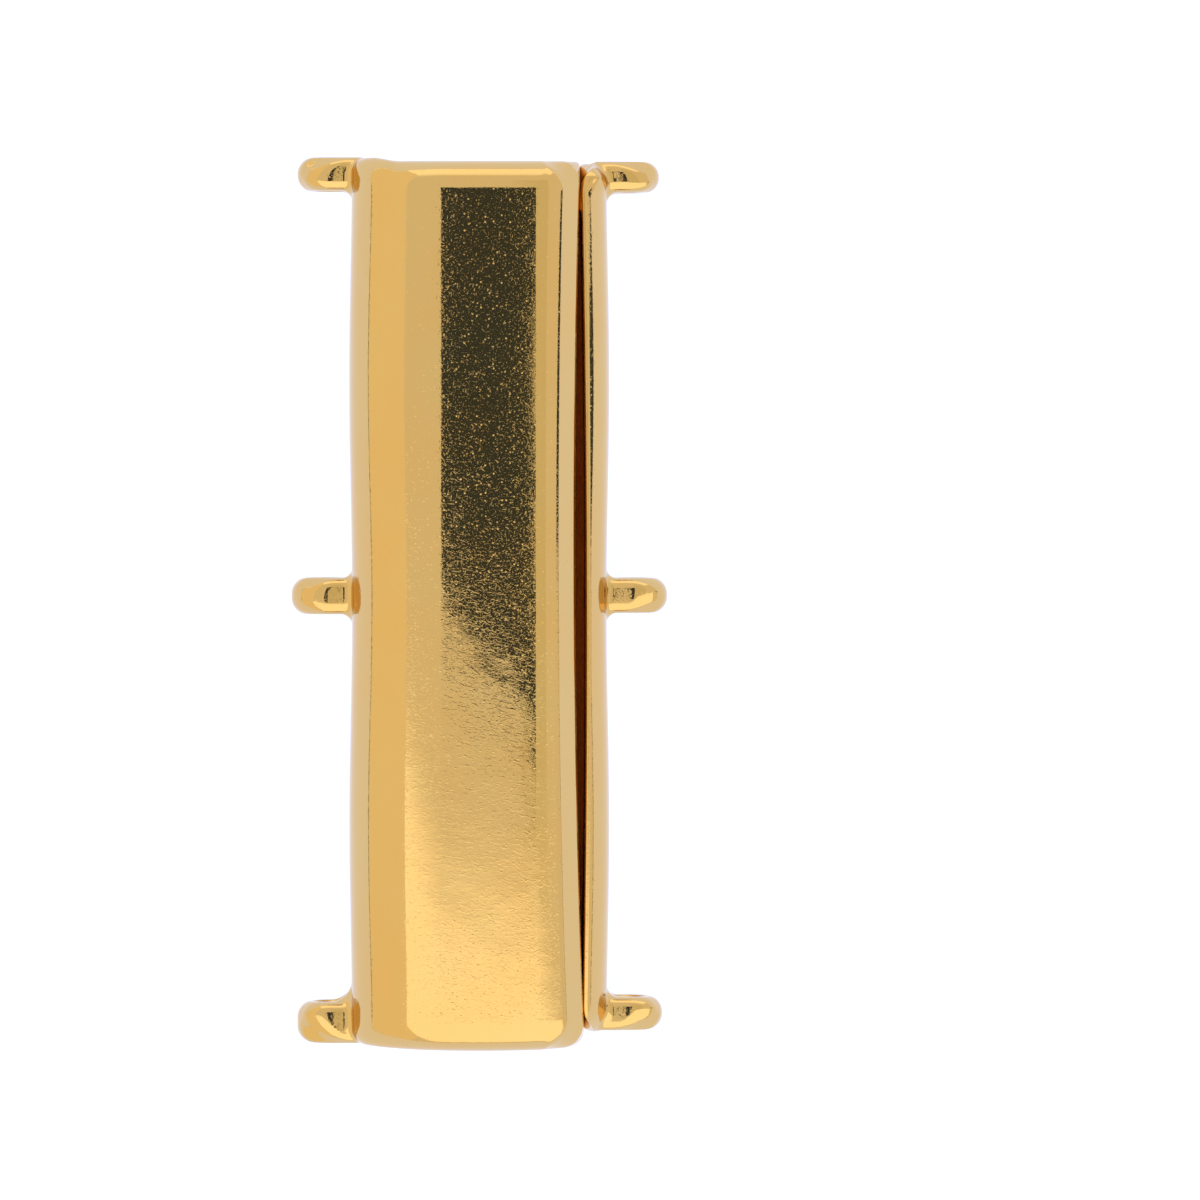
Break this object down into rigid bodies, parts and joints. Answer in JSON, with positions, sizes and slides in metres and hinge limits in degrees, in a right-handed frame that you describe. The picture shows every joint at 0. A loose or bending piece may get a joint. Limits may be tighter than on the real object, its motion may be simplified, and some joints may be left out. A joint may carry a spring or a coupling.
{
  "type": "magnetic clasp",
  "caption": "Long domed slide-in magnetic clasp for several strands, with a row of eyes down each side.",
  "frame": {"origin": "centre of the bounding box's base, on the flat back of the closed clasp", "axes": "+Y along the clasp's length, +X the way the plug half pulls out, +Z out of the flat back towards the crown"},
  "size_m": [0.013, 0.0306, 0.0054],
  "materials": {
    "gold_box": "cast, polished and gold plated, with fine scratches",
    "gold_plug": "cast, polished and gold plated, with fine scratches",
    "nickel": "nickel plated"
  },
  "bodies": {
    "box": {"box_half": "gold_box", "box_magnet_1": "nickel", "box_magnet_2": "nickel", "box_magnet_3": "nickel"},
    "plug": {"plug_half": "gold_plug", "plug_magnet_1": "nickel", "plug_magnet_2": "nickel", "plug_magnet_3": "nickel"}
  },
  "joints": [
    {"name": "clasp_slide", "type": "slide", "parent": "box", "child": "plug", "axis": [1, 0, 0], "range_m": [0, 0.006]}
  ]
}
